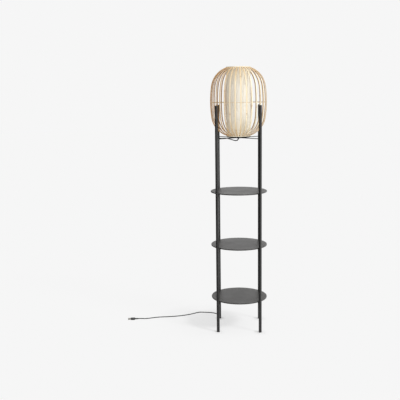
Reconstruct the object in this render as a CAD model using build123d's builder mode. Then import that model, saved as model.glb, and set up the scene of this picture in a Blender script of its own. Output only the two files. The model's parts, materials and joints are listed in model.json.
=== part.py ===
from build123d import *
import os
from math import cos, pi, radians, sin, sqrt, tan

# Floor lamp with three round shelves between four tube posts and a bamboo lantern on top.
# Millimetres, +Z up, origin on the floor on the lamp's axis, front towards -Y.

os.makedirs("parts", exist_ok=True)

# ---- driving dimensions -------------------------------------------------------------------

# Posts: four upright steel tubes, standing just outside the shelves.
post_diameter = 16.0
post_wall = 1.5
post_top = 1200.0
post_gap = 0.3
post_angles = {"front_left": 225, "front_right": 315, "back_left": 135, "back_right": 45}

# Plastic plugs at both ends of each post.
glide_height = 4.0
glide_round = 1.5
cap_height = 3.0
cap_round = 2.0
plug_length = 9.0
plug_clearance = 0.1

# Shelves: pressed steel discs with a turned-down rim and four lugs underneath.
shelf_radius = 150.0
shelf_sheet = 1.5
shelf_rim = 5.0
shelf_edge_round = 1.0
lower_shelf_top = 170.0
middle_shelf_top = 460.0
upper_shelf_top = 750.0
lug_width = 14.0
lug_drop = 20.0
lug_thickness = 2.0
lug_corner = 4.0

# Screws through the lugs into threaded inserts in the posts.
screw_drop = 12.5
screw_shank = 3.9
screw_length = 7.5
screw_head = 7.6
screw_head_height = 2.4
screw_socket = 2.5
screw_socket_depth = 1.3
screw_hole_clearance = 0.4
insert_diameter = 7.0
insert_length = 8.0
insert_bore_clearance = 0.1
insert_hole_clearance = 0.15

# Spider: a boss with four rods that end in holes in the posts.
rod_diameter = 4.0
rod_height = 1032.0
rod_entry = 3.5
rod_hole_clearance = 0.1
boss_diameter = 26.0
boss_below_rods = 0.7

# Plate that the lantern stands on.
plate_radius = 62.5
plate_sheet = 1.5
plate_top = 1040.0
plate_rim = 5.5
plate_edge_round = 1.0

# Lantern: a straight drum of upright bamboo strips in a cage of bowed splints.
seat_gap = 0.3
lantern_height = 360.0
drum_radius = 64.0
strip_count = 60
strip_thickness = 1.2
strip_gap = 0.15
liner_thickness = 0.6
glue_gap = 0.2
end_hoop_thickness = 2.5
end_hoop_height = 8.0
splint_count = 32
splint_width = 7.0
splint_thickness = 2.0
splint_end_inset = 3.0
lantern_radius = 149.0
belly_radius = 600.0
belly_half_height = 80.0
belly_hoop_height = 1217.0
belly_hoop_thickness = 1.5
belly_hoop_width = 2.6

# Lamp holder on the plate.
nipple_diameter = 10.0
nipple_bore = 7.0
nipple_above_plate = 9.0
nipple_clearance = 0.1
nut_width = 17.0
nut_height = 3.0
holder_radius = 20.0
holder_wall = 2.0
holder_base_height = 20.0
holder_base_round = 5.0
holder_body_height = 36.0
carrier_height = 5.0
screw_shell_radius = 13.5
screw_shell_wall = 0.4
screw_shell_height = 26.0
tongue_radius = 3.0
tongue_height = 2.0

# Stick-shaped bulb.
bulb_clearance = 0.4
bulb_contact_radius = 4.5
bulb_contact_height = 1.2
bulb_insulator_height = 3.5
bulb_cap_height = 25.0
bulb_collar_height = 14.0
bulb_radius = 18.5
bulb_glass_height = 68.0
bulb_end_round = 6.0

# Cord, where it is held and where it lies free.
cord_diameter = 5.0
cord_bore_clearance = 0.1
cord_post_angle = post_angles["back_left"]
cord_entry_height = 1022.3
cord_exit_height = 20.0
cord_bend = 8.0
cord_side_gap = 0.4
cord_shift_top = 130.0
cord_shift_bottom = 70.0
cord_shift_bend = 60.0
grommet_flange = 9.6
grommet_flange_height = 1.2
grommet_body = 7.2
grommet_hole_clearance = 0.1
grommet_reach = 0.4
relief_tilt = 35.0
sag_start = 3.6
relief_length = 10.0
relief_top_diameter = 8.4
relief_tip_diameter = 6.4

# Two-blade mains plug at the end of the cord.
plug_width = 20.0
plug_thickness = 10.0
plug_body_length = 22.0
plug_corner = 3.0
plug_floor_gap = 0.1
floor_touch_rise = 0.4
plug_relief_length = 20.0
plug_relief_root = 8.0
plug_relief_tip = 6.4
blade_spacing = 12.7
blade_width = 6.3
blade_thickness = 1.5
blade_length = 17.0
blade_root = 6.0

# ---- sizes that follow --------------------------------------------------------------------

post_radius = post_diameter / 2
post_bore_radius = post_radius - post_wall
post_reach = shelf_radius + post_gap + post_radius
tube_bottom = glide_height
shelf_tops = {"lower": lower_shelf_top, "middle": middle_shelf_top, "upper": upper_shelf_top}

lug_face = sqrt(shelf_radius**2 - (lug_width / 2) ** 2)
lug_back = lug_face - lug_thickness

rod_end = post_reach - post_radius + rod_entry
boss_bottom = rod_height - rod_diameter / 2 - boss_below_rods
plate_underside = plate_top - plate_sheet

lantern_bottom = plate_top + seat_gap
lantern_top = lantern_bottom + lantern_height
lantern_middle = (lantern_bottom + lantern_top) / 2
strip_inner_radius = drum_radius - strip_thickness
liner_radius = strip_inner_radius - glue_gap
end_hoop_radius = liner_radius - liner_thickness - glue_gap

holder_base_top = plate_top + holder_base_height
carrier_top = holder_base_top + carrier_height
tongue_top = carrier_top + tongue_height

bulb_bottom = tongue_top + seat_gap
bulb_cap_bottom = bulb_bottom + bulb_contact_height + bulb_insulator_height
bulb_cap_top = bulb_cap_bottom + bulb_cap_height
bulb_collar_top = bulb_cap_top + bulb_collar_height

cord_radius = cord_diameter / 2
cord_bore = cord_radius + cord_bore_clearance
inner_face = post_reach - post_radius
outer_face = post_reach + post_radius
entry_face = inner_face - glue_gap / 2 - grommet_flange_height
exit_face = outer_face + glue_gap / 2 + grommet_flange_height
cord_outer_line = post_reach + post_bore_radius - cord_radius - cord_side_gap
cord_inner_line = post_reach - post_bore_radius + cord_radius + cord_side_gap


# ---- helpers ------------------------------------------------------------------------------

def radial_plane(angle, radius, height):
    # Faces away from the lamp's axis: x runs round the lamp and y runs up.
    a = radians(angle)
    return Plane(
        origin=(radius * cos(a), radius * sin(a), height),
        x_dir=(-sin(a), cos(a), 0),
        z_dir=(cos(a), sin(a), 0),
    )


def section_plane(angle):
    # Upright through the lamp's axis: x is the distance from the axis and y is the height.
    a = radians(angle)
    return Plane(origin=(0, 0, 0), x_dir=(cos(a), sin(a), 0), z_dir=(sin(a), -cos(a), 0))


def post_plane(angle, height):
    a = radians(angle)
    return Plane(origin=(post_reach * cos(a), post_reach * sin(a), height))


def finish(piece, name):
    piece.part.label = name
    export_step(piece.part, f"parts/{name}.step")


def corner_radii(points):
    # Each corner's arc takes up to 0.45 of the shorter of its two runs.
    places = [Vector(*point) for point in points]
    radii = []
    for before, corner, after in zip(places, places[1:], places[2:]):
        run_in = corner - before
        run_out = after - corner
        half_turn = radians(run_in.get_angle(run_out)) / 2
        radii.append(0.45 * min(run_in.length, run_out.length) / tan(half_turn))
    return radii


# ---- posts and their end plugs ------------------------------------------------------------

for place, angle in post_angles.items():
    with BuildPart() as post:
        with BuildSketch(post_plane(angle, tube_bottom)):
            Circle(post_radius)
            Circle(post_bore_radius, mode=Mode.SUBTRACT)
        extrude(amount=post_top - tube_bottom)
        # Holes in the side that faces the shelves, one for each screw insert.
        for top in shelf_tops.values():
            with BuildSketch(radial_plane(angle, post_reach, top - screw_drop)):
                Circle(insert_diameter / 2 + insert_hole_clearance)
            extrude(amount=-post_diameter, mode=Mode.SUBTRACT)
        # Hole for the end of the spider's rod.
        with BuildSketch(radial_plane(angle, post_reach, rod_height)):
            Circle(rod_diameter / 2 + rod_hole_clearance)
        extrude(amount=-post_diameter, mode=Mode.SUBTRACT)
        if angle == cord_post_angle:
            # The cord goes in on the inner side and comes out on the outer side.
            with BuildSketch(radial_plane(angle, post_reach, cord_entry_height)):
                Circle(grommet_body / 2 + grommet_hole_clearance)
            extrude(amount=-post_diameter, mode=Mode.SUBTRACT)
            with BuildSketch(radial_plane(angle, post_reach, cord_exit_height)):
                Circle(grommet_body / 2 + grommet_hole_clearance)
            extrude(amount=post_diameter, mode=Mode.SUBTRACT)
    finish(post, f"post_{place}")

with BuildPart() as foot_glides:
    for angle in post_angles.values():
        with BuildSketch(post_plane(angle, 0)):
            Circle(post_radius)
        extrude(amount=glide_height)
        with BuildSketch(post_plane(angle, glide_height)):
            Circle(post_bore_radius - plug_clearance)
        extrude(amount=plug_length)
    fillet(foot_glides.edges().group_by(Axis.Z)[0], radius=glide_round)
finish(foot_glides, "foot_glides")

with BuildPart() as post_caps:
    for angle in post_angles.values():
        with BuildSketch(post_plane(angle, post_top)):
            Circle(post_radius)
        extrude(amount=cap_height)
        with BuildSketch(post_plane(angle, post_top)):
            Circle(post_bore_radius - plug_clearance)
        extrude(amount=-plug_length)
    fillet(post_caps.edges().group_by(Axis.Z)[-1], radius=cap_round)
finish(post_caps, "post_caps")

# ---- shelves ------------------------------------------------------------------------------

for level, top in shelf_tops.items():
    with BuildPart() as shelf:
        with BuildSketch(Plane.XZ) as shelf_profile:
            with BuildLine():
                Polyline(
                    (0, top),
                    (shelf_radius, top),
                    (shelf_radius, top - shelf_rim),
                    (shelf_radius - shelf_sheet, top - shelf_rim),
                    (shelf_radius - shelf_sheet, top - shelf_sheet),
                    (0, top - shelf_sheet),
                    close=True,
                )
            make_face()
            rim_corner = shelf_profile.vertices().group_by(Axis.X)[-1].sort_by(Axis.Y)[-1]
            fillet(rim_corner, radius=shelf_edge_round)
        revolve(axis=Axis.Z)
        # Lugs, welded under the disc where the posts stand.
        for angle in post_angles.values():
            with BuildSketch(radial_plane(angle, lug_face, top)) as lug:
                with BuildLine():
                    Polyline(
                        (-lug_width / 2, -shelf_sheet / 2),
                        (lug_width / 2, -shelf_sheet / 2),
                        (lug_width / 2, -lug_drop),
                        (-lug_width / 2, -lug_drop),
                        close=True,
                    )
                make_face()
                fillet(lug.vertices().group_by(Axis.Y)[0], radius=lug_corner)
                with Locations((0, -screw_drop)):
                    Circle((screw_shank + screw_hole_clearance) / 2, mode=Mode.SUBTRACT)
            extrude(amount=-lug_thickness)
    finish(shelf, f"shelf_{level}")

with BuildPart() as shelf_screws:
    for top in shelf_tops.values():
        for angle in post_angles.values():
            seat = radial_plane(angle, lug_back, top - screw_drop)
            with BuildSketch(seat):
                Circle(screw_head / 2)
            extrude(amount=-screw_head_height)
            with BuildSketch(seat.offset(-screw_head_height)):
                RegularPolygon(screw_socket / 2, side_count=6, major_radius=False)
            extrude(amount=screw_socket_depth, mode=Mode.SUBTRACT)
            with BuildSketch(seat):
                Circle(screw_shank / 2)
            extrude(amount=lug_thickness + screw_length)
finish(shelf_screws, "shelf_screws")

with BuildPart() as shelf_inserts:
    for top in shelf_tops.values():
        for angle in post_angles.values():
            with BuildSketch(radial_plane(angle, lug_face, top - screw_drop)):
                Circle(insert_diameter / 2)
                Circle((screw_shank + insert_bore_clearance) / 2, mode=Mode.SUBTRACT)
            extrude(amount=insert_length)
finish(shelf_inserts, "shelf_inserts")

# ---- what carries the lantern -------------------------------------------------------------

with BuildPart() as lantern_spider:
    with BuildSketch(Plane.XY.offset(boss_bottom)):
        Circle(boss_diameter / 2)
    extrude(amount=plate_underside - boss_bottom)
    for angle in post_angles.values():
        with BuildSketch(radial_plane(angle, 0, rod_height)):
            Circle(rod_diameter / 2)
        extrude(amount=rod_end)
    with BuildSketch(Plane.XY.offset(boss_bottom)):
        Circle((nipple_diameter + nipple_clearance) / 2)
    extrude(amount=plate_underside - boss_bottom, mode=Mode.SUBTRACT)
finish(lantern_spider, "lantern_spider")

with BuildPart() as lantern_plate:
    with BuildSketch(Plane.XZ) as plate_profile:
        with BuildLine():
            Polyline(
                ((nipple_diameter + nipple_clearance) / 2, plate_top),
                (plate_radius, plate_top),
                (plate_radius, plate_top - plate_rim),
                (plate_radius - plate_sheet, plate_top - plate_rim),
                (plate_radius - plate_sheet, plate_underside),
                ((nipple_diameter + nipple_clearance) / 2, plate_underside),
                close=True,
            )
        make_face()
        plate_corner = plate_profile.vertices().group_by(Axis.X)[-1].sort_by(Axis.Y)[-1]
        fillet(plate_corner, radius=plate_edge_round)
    revolve(axis=Axis.Z)
finish(lantern_plate, "lantern_plate")

with BuildPart() as threaded_nipple:
    with BuildSketch(Plane.XY.offset(boss_bottom)):
        Circle(nipple_diameter / 2)
        Circle(nipple_bore / 2, mode=Mode.SUBTRACT)
    extrude(amount=plate_top + nipple_above_plate - boss_bottom)
finish(threaded_nipple, "threaded_nipple")

with BuildPart() as nipple_nut:
    with BuildSketch(Plane.XY.offset(plate_top + holder_wall)):
        RegularPolygon(nut_width / 2, side_count=6, major_radius=False)
        Circle((nipple_diameter + nipple_clearance) / 2, mode=Mode.SUBTRACT)
    extrude(amount=nut_height)
finish(nipple_nut, "nipple_nut")

# ---- lamp holder --------------------------------------------------------------------------

with BuildPart() as holder_base:
    with BuildSketch(Plane.XY.offset(plate_top)):
        Circle(holder_radius)
    extrude(amount=holder_base_height)
    fillet(holder_base.edges().group_by(Axis.Z)[0], radius=holder_base_round)
    with BuildSketch(Plane.XY.offset(plate_top + holder_wall)):
        Circle(holder_radius - holder_wall)
    extrude(amount=holder_base_height, mode=Mode.SUBTRACT)
    with BuildSketch(Plane.XY.offset(plate_top)):
        Circle((nipple_diameter + nipple_clearance) / 2)
    extrude(amount=holder_wall, mode=Mode.SUBTRACT)
finish(holder_base, "holder_base")

with BuildPart() as holder_body:
    with BuildSketch(Plane.XY.offset(holder_base_top)):
        Circle(holder_radius)
        Circle(holder_radius - holder_wall, mode=Mode.SUBTRACT)
    extrude(amount=holder_body_height)
finish(holder_body, "holder_body")

with BuildPart() as contact_carrier:
    with BuildSketch(Plane.XY.offset(holder_base_top)):
        Circle(holder_radius - holder_wall - plug_clearance)
    extrude(amount=carrier_height)
finish(contact_carrier, "contact_carrier")

with BuildPart() as screw_shell:
    with BuildSketch(Plane.XY.offset(carrier_top)):
        Circle(screw_shell_radius + screw_shell_wall)
        Circle(screw_shell_radius, mode=Mode.SUBTRACT)
    extrude(amount=screw_shell_height)
    # Flange at the mouth, held by the holder's body.
    with BuildSketch(Plane.XY.offset(carrier_top + screw_shell_height)):
        Circle(holder_radius - holder_wall - plug_clearance)
        Circle(screw_shell_radius, mode=Mode.SUBTRACT)
    extrude(amount=screw_shell_wall)
finish(screw_shell, "screw_shell")

with BuildPart() as contact_tongue:
    with BuildSketch(Plane.XY.offset(carrier_top)):
        Circle(tongue_radius)
    extrude(amount=tongue_height)
finish(contact_tongue, "contact_tongue")

# ---- bulb ---------------------------------------------------------------------------------

with BuildPart() as bulb_contact:
    with BuildSketch(Plane.XY.offset(bulb_bottom)):
        Circle(bulb_contact_radius)
    extrude(amount=bulb_contact_height)
finish(bulb_contact, "bulb_contact")

with BuildPart() as bulb_insulator:
    with BuildSketch(Plane.XY.offset(bulb_bottom + bulb_contact_height)):
        Circle(bulb_contact_radius)
    with BuildSketch(Plane.XY.offset(bulb_cap_bottom)):
        Circle(screw_shell_radius - bulb_clearance)
    loft()
finish(bulb_insulator, "bulb_insulator")

with BuildPart() as bulb_cap:
    with BuildSketch(Plane.XY.offset(bulb_cap_bottom)):
        Circle(screw_shell_radius - bulb_clearance)
    extrude(amount=bulb_cap_height)
finish(bulb_cap, "bulb_cap")

with BuildPart() as bulb_collar:
    with BuildSketch(Plane.XY.offset(bulb_cap_top)):
        Circle(screw_shell_radius - bulb_clearance)
    with BuildSketch(Plane.XY.offset(bulb_collar_top)):
        Circle(bulb_radius)
    loft()
finish(bulb_collar, "bulb_collar")

with BuildPart() as bulb_glass:
    with BuildSketch(Plane.XY.offset(bulb_collar_top)):
        Circle(bulb_radius)
    extrude(amount=bulb_glass_height)
    fillet(bulb_glass.edges().group_by(Axis.Z)[-1], radius=bulb_end_round)
finish(bulb_glass, "bulb_glass")

# ---- lantern ------------------------------------------------------------------------------

# One splint: a shallow arc over the belly, then a tighter one tangent to it at each end.
with BuildPart() as one_splint:
    with BuildSketch(Plane.XZ):
        with BuildLine():
            belly_centre = lantern_radius - belly_radius
            rise = sqrt(belly_radius**2 - belly_half_height**2)
            belly = ThreePointArc(
                (belly_centre + rise, lantern_middle - belly_half_height),
                (lantern_radius, lantern_middle),
                (belly_centre + rise, lantern_middle + belly_half_height),
            )
            TangentArc(
                belly @ 1,
                (drum_radius, lantern_top - splint_end_inset),
                tangent=belly % 1,
            )
            TangentArc(
                belly @ 0,
                (drum_radius, lantern_bottom + splint_end_inset),
                tangent=(belly % 0) * -1,
            )
            offset(amount=-splint_thickness, side=Side.LEFT)
        make_face()
        # The ends stop just short of the drum.
        with Locations((0, lantern_middle)):
            Rectangle(2 * (drum_radius + glue_gap), 2 * lantern_height, mode=Mode.SUBTRACT)
    extrude(amount=splint_width / 2, both=True)

with BuildPart() as lantern_splints:
    with PolarLocations(0, splint_count, start_angle=180 / splint_count):
        add(one_splint.part)
finish(lantern_splints, "lantern_splints")

with BuildPart() as drum_strips:
    strip_width = 2 * strip_inner_radius * tan(pi / strip_count) - strip_gap
    with BuildSketch(Plane.XY.offset(lantern_bottom)):
        with PolarLocations(drum_radius - strip_thickness / 2, strip_count):
            Rectangle(strip_thickness, strip_width)
    extrude(amount=lantern_height)
finish(drum_strips, "drum_strips")

with BuildPart() as drum_liner:
    with BuildSketch(Plane.XY.offset(lantern_bottom)):
        Circle(liner_radius)
        Circle(liner_radius - liner_thickness, mode=Mode.SUBTRACT)
    extrude(amount=lantern_height)
finish(drum_liner, "drum_liner")

for end, hoop_bottom in (("bottom", lantern_bottom), ("top", lantern_top - end_hoop_height)):
    with BuildPart() as end_hoop:
        with BuildSketch(Plane.XY.offset(hoop_bottom)):
            Circle(end_hoop_radius)
            Circle(end_hoop_radius - end_hoop_thickness, mode=Mode.SUBTRACT)
        extrude(amount=end_hoop_height)
    finish(end_hoop, f"lantern_{end}_hoop")

with BuildPart() as lantern_belly_hoop:
    belly_hoop_radius = lantern_radius - splint_thickness - glue_gap
    with BuildSketch(Plane.XY.offset(belly_hoop_height - belly_hoop_width / 2)):
        Circle(belly_hoop_radius)
        Circle(belly_hoop_radius - belly_hoop_thickness, mode=Mode.SUBTRACT)
    extrude(amount=belly_hoop_width)
finish(lantern_belly_hoop, "lantern_belly_hoop")

# ---- cord ---------------------------------------------------------------------------------

# From the holder down the nipple and out through the tilted strain relief.
lead_top = plate_top + nipple_above_plate
tilt = radians(relief_tilt)
turn = radians(cord_post_angle)
relief_tip = (relief_length * sin(tilt), boss_bottom - relief_length * cos(tilt))

with BuildPart() as strain_relief:
    relief_axis = (sin(tilt) * cos(turn), sin(tilt) * sin(turn), -cos(tilt))
    relief_plane = Plane(origin=(0, 0, boss_bottom), z_dir=relief_axis)
    with BuildSketch(relief_plane.offset(-relief_top_diameter)):
        Circle(relief_top_diameter / 2)
    with BuildSketch(relief_plane.offset(relief_length)):
        Circle(relief_tip_diameter / 2)
    loft()
    split(bisect_by=Plane.XY.offset(boss_bottom), keep=Keep.BOTTOM)
    with BuildSketch(relief_plane.offset(-relief_top_diameter)):
        Circle(cord_bore)
    extrude(amount=relief_length + relief_top_diameter, mode=Mode.SUBTRACT)
    with BuildSketch(Plane.XY.offset(boss_bottom)):
        Circle(cord_bore)
    extrude(amount=-cord_radius, mode=Mode.SUBTRACT)
finish(strain_relief, "strain_relief")

with BuildPart() as cord_in_nipple:
    with BuildLine(section_plane(cord_post_angle)) as lead_path:
        Polyline((0, lead_top), (0, boss_bottom), relief_tip)
    with BuildSketch(Plane.XY.offset(lead_top)):
        Circle(cord_radius)
    sweep(path=lead_path.line, transition=Transition.RIGHT)
finish(cord_in_nipple, "cord_in_nipple")

# The short free stretch sags from the strain relief to the post.
# Distances from the lamp's axis towards the post, and heights.
sag_route = [
    relief_tip,
    (relief_tip[0] + sag_start * sin(tilt), relief_tip[1] - sag_start * cos(tilt)),
    (13.2, 1016.3),
    (23.0, 1015.2),
    (39.0, 1016.9),
    (60.0, 1020.7),
    (84.0, 1023.8),
    (108.0, 1024.5),
    (131.0, cord_entry_height),
    (entry_face, cord_entry_height),
]
sag_radii = corner_radii(sag_route)

with BuildPart() as cord_top:
    with BuildLine(section_plane(cord_post_angle)) as sag_path:
        FilletPolyline(*sag_route, radius=sag_radii)
    with BuildSketch(Plane(origin=sag_path.line @ 0, z_dir=sag_path.line % 0)):
        Circle(cord_radius)
    sweep(path=sag_path.line)
finish(cord_top, "cord_top")

# Down the inside of the post: behind the screw inserts, then across to the inner side so
# that it can turn out of the foot.
post_route = [
    (entry_face, cord_entry_height),
    (cord_outer_line, cord_entry_height),
    (cord_outer_line, cord_shift_top),
    (cord_inner_line, cord_shift_bottom),
    (cord_inner_line, cord_exit_height),
    (exit_face, cord_exit_height),
]

with BuildPart() as cord_in_post:
    with BuildLine(section_plane(cord_post_angle)) as post_path:
        FilletPolyline(
            *post_route, radius=[cord_bend, cord_shift_bend, cord_shift_bend, cord_bend]
        )
    with BuildSketch(radial_plane(cord_post_angle, entry_face, cord_entry_height)):
        Circle(cord_radius)
    sweep(path=post_path.line)
finish(cord_in_post, "cord_in_post")

# Bushes in the post where the cord goes in and comes out.
for end, face, height, inward in (
    ("entry", entry_face, cord_entry_height, 1),
    ("exit", exit_face, cord_exit_height, -1),
):
    with BuildPart() as grommet:
        flange_plane = radial_plane(cord_post_angle, face, height)
        with BuildSketch(flange_plane):
            Circle(grommet_flange / 2)
        extrude(amount=inward * grommet_flange_height)
        with BuildSketch(flange_plane):
            Circle(grommet_body / 2)
        extrude(amount=inward * (grommet_flange_height + post_wall + grommet_reach))
        with BuildSketch(flange_plane):
            Circle(cord_bore)
        extrude(amount=inward * post_diameter, mode=Mode.SUBTRACT)
    finish(grommet, f"cord_{end}_grommet")

# The long free stretch: out of the foot, down to the floor and away to the left.
exit_x = exit_face * cos(turn)
exit_y = exit_face * sin(turn)
on_floor = cord_radius + plug_floor_gap
plug_height = plug_thickness / 2 + plug_floor_gap
floor_route = [
    (exit_x, exit_y, cord_exit_height),
    (-138.0, 138.0, cord_exit_height),
    (-165.0, 164.0, 15.0),
    (-190.0, 189.0, 7.5),
    (-211.0, 205.0, on_floor + floor_touch_rise),
    (-234.0, 207.0, on_floor),
    (-256.0, 191.0, on_floor),
    (-284.0, 167.0, on_floor),
    (-322.0, 146.0, on_floor),
    (-367.0, 129.0, on_floor),
    (-417.0, 119.0, on_floor),
    (-467.0, 112.0, on_floor),
    (-511.0, 91.5, on_floor),
    (-537.0, 82.0, on_floor + floor_touch_rise),
    (-556.0, 78.6, plug_height),
    (-573.0, 76.4, plug_height),
]
floor_radii = corner_radii(floor_route)

with BuildPart() as cord_floor:
    with BuildLine() as floor_path:
        FilletPolyline(*floor_route, radius=floor_radii)
    with BuildSketch(Plane(origin=floor_path.line @ 0, z_dir=floor_path.line % 0)):
        Circle(cord_radius)
    sweep(path=floor_path.line)
finish(cord_floor, "cord_floor")

# ---- plug ---------------------------------------------------------------------------------

plug_back = Plane(origin=floor_path.line @ 1, x_dir=(0, 0, 1), z_dir=floor_path.line % 1)

with BuildPart() as plug_body:
    with BuildSketch(plug_back.offset(plug_relief_length)):
        RectangleRounded(plug_thickness, plug_width, plug_corner)
    extrude(amount=plug_body_length)
    with BuildSketch(plug_back):
        Circle(plug_relief_tip / 2)
    with BuildSketch(plug_back.offset(plug_relief_length)):
        Circle(plug_relief_root / 2)
    loft()
    for side in (-1, 1):
        with BuildSketch(plug_back.offset(plug_relief_length + plug_body_length)):
            with Locations((0, side * blade_spacing / 2)):
                Rectangle(blade_width + glue_gap, blade_thickness + glue_gap)
        extrude(amount=-blade_root, mode=Mode.SUBTRACT)
finish(plug_body, "plug_body")

with BuildPart() as plug_blades:
    blade_plane = plug_back.offset(plug_relief_length + plug_body_length - blade_root)
    with BuildSketch(blade_plane):
        with Locations((0, -blade_spacing / 2), (0, blade_spacing / 2)):
            Rectangle(blade_width, blade_thickness)
    extrude(amount=blade_root + blade_length)
finish(plug_blades, "plug_blades")

# ---- report -------------------------------------------------------------------------------

print("sagging cord radii", [round(r, 1) for r in sag_radii])
print("floor cord radii", [round(r, 1) for r in floor_radii])
for name, piece, path in (
    ("sagging", cord_top, sag_path),
    ("held", cord_in_post, post_path),
    ("floor", cord_floor, floor_path),
):
    length = path.wire().length
    share = piece.part.volume / (pi * cord_radius**2 * length)
    print(name, "cord length", round(length, 1), "volume over section times length", round(share, 4))
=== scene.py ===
import json
import math

import bmesh
import bpy
import numpy as np
from mathutils import Matrix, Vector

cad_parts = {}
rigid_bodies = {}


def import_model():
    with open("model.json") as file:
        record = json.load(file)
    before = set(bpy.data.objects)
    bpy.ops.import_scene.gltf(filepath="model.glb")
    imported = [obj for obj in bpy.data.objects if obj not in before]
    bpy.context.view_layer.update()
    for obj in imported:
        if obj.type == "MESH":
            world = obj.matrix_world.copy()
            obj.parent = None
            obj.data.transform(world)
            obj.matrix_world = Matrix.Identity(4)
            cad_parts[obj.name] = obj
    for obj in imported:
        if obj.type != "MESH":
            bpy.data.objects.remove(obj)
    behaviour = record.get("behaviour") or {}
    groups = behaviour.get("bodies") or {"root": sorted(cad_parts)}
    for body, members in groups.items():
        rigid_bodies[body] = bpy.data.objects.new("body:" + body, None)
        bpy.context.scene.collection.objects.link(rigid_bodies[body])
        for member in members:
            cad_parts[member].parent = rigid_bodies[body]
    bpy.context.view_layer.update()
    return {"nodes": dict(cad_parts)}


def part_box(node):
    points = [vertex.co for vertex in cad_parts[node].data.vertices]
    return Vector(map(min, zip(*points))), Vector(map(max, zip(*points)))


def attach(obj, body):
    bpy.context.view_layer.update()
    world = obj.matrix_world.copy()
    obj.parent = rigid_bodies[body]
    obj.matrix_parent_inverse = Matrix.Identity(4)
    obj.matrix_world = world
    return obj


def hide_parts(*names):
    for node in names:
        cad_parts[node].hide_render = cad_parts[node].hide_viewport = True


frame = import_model()
nodes = frame["nodes"]
scene = bpy.context.scene
sceneObjects = scene.collection.objects
swaySeed = 7
rng = np.random.default_rng(swaySeed)

# Shelf floor lamp: three black round shelves between four tube posts, and a bamboo lantern.
# Metres, the floor at z = 0, the front towards -y.


print("camera")

camera = {
    "place": (0.030274, -3.577915, 1.267559),
    "yaw": -0.06667,           # these three in radians
    "pitchDown": 0.15725,
    "roll": 0.01314,
    "lens": 60.74,             # lens and sensor in millimetres
    "sensor": 36.0,
    "nearest": 0.05,
    "farthest": 60.0,
}


def aimCamera(settings):
    # forward follows from yaw and pitch, the side is level, the lift is side cross forward,
    # and the roll turns side and lift into right and up
    yaw, pitch, roll = settings["yaw"], settings["pitchDown"], settings["roll"]
    forward = np.array([
        math.sin(yaw) * math.cos(pitch), math.cos(yaw) * math.cos(pitch), -math.sin(pitch)])
    side = np.array([math.cos(yaw), -math.sin(yaw), 0.0])
    lift = np.cross(side, forward)
    right = side * math.cos(roll) - lift * math.sin(roll)
    up = side * math.sin(roll) + lift * math.cos(roll)
    data = bpy.data.cameras.new("camera")
    data.lens = settings["lens"]
    data.sensor_width = settings["sensor"]
    data.clip_start = settings["nearest"]
    data.clip_end = settings["farthest"]
    eye = bpy.data.objects.new("camera", data)
    sceneObjects.link(eye)
    pose = np.eye(4)
    pose[:3, 0], pose[:3, 1], pose[:3, 2], pose[:3, 3] = right, up, -forward, settings["place"]
    eye.matrix_world = Matrix(pose.tolist())
    scene.camera = eye


aimCamera(camera)


print("cords")

cordDiameter = 0.005
cordTube = {"order": 3, "stretchSteps": 10, "ringSteps": 4}
backLeft = math.radians(135)       # the way from the lamp's axis to the back left post

# Sagging lead: distance from the lamp's axis towards the back left post, and height.
saggingLead = {
    "route": [
        (0.00574, 1.02111), (0.00780, 1.01816), (0.0132, 1.0163), (0.0230, 1.0152),
        (0.0390, 1.0169), (0.0600, 1.0207), (0.0840, 1.0238), (0.1080, 1.0245),
        (0.1310, 1.0223), (0.1490, 1.0223)],
    "length": 0.1457,
}

# Floor lead: out of the foot of the back left post and away to the left.
floorLead = {
    "route": [
        (-0.11851, 0.11851, 0.0200), (-0.1380, 0.1380, 0.0200), (-0.1650, 0.1640, 0.0150),
        (-0.1900, 0.1890, 0.0075), (-0.2110, 0.2050, 0.0030), (-0.2340, 0.2070, 0.0026),
        (-0.2560, 0.1910, 0.0026), (-0.2840, 0.1670, 0.0026), (-0.3220, 0.1460, 0.0026),
        (-0.3670, 0.1290, 0.0026), (-0.4170, 0.1190, 0.0026), (-0.4670, 0.1120, 0.0026),
        (-0.5110, 0.0915, 0.0026), (-0.5370, 0.0820, 0.0030), (-0.5560, 0.0786, 0.0051),
        (-0.5730, 0.0764, 0.0051)],
    "length": 0.5190,
}


def layCord(name, points, diameter, tube):
    # a round tube on one smooth NURBS line with the route's points as control points; the
    # points carry the radius, so that the curve's box is the cord's own
    line = bpy.data.curves.new(name, "CURVE")
    line.dimensions = "3D"
    spline = line.splines.new("NURBS")
    spline.points.add(len(points) - 1)
    spline.points.foreach_set("co", np.c_[np.array(points), np.ones(len(points))].ravel())
    spline.points.foreach_set("radius", np.full(len(points), diameter / 2))
    spline.order_u = tube["order"]
    spline.use_endpoint_u = True
    spline.resolution_u = tube["stretchSteps"]
    line.bevel_depth = 1.0         # times the points' radius
    line.bevel_resolution = tube["ringSteps"]
    line.use_fill_caps = True
    cord = bpy.data.objects.new(name, line)
    sceneObjects.link(cord)
    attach(cord, "frame")
    return cord


leadPoints = [
    (r * math.cos(backLeft), r * math.sin(backLeft), z) for r, z in saggingLead["route"]]
topCord = layCord("top_lead", leadPoints, cordDiameter, cordTube)
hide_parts("cord_top")

floorCord = layCord("floor_lead", floorLead["route"], cordDiameter, cordTube)
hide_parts("cord_floor")


# helpers for shader nodes

floatKind, vectorKind, colourKind = "NodeSocketFloat", "NodeSocketVector", "NodeSocketColor"


def addNode(tree, kind, settings=None, inputs=None):
    # inputs holds a number or colour for a socket, or the socket to link to it
    node = tree.nodes.new(kind)
    for key, value in (settings or {}).items():
        setattr(node, key, value)
    for key, value in (inputs or {}).items():
        if isinstance(value, bpy.types.NodeSocket):
            tree.links.new(value, node.inputs[key])
        else:
            node.inputs[key].default_value = value
    return node


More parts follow.
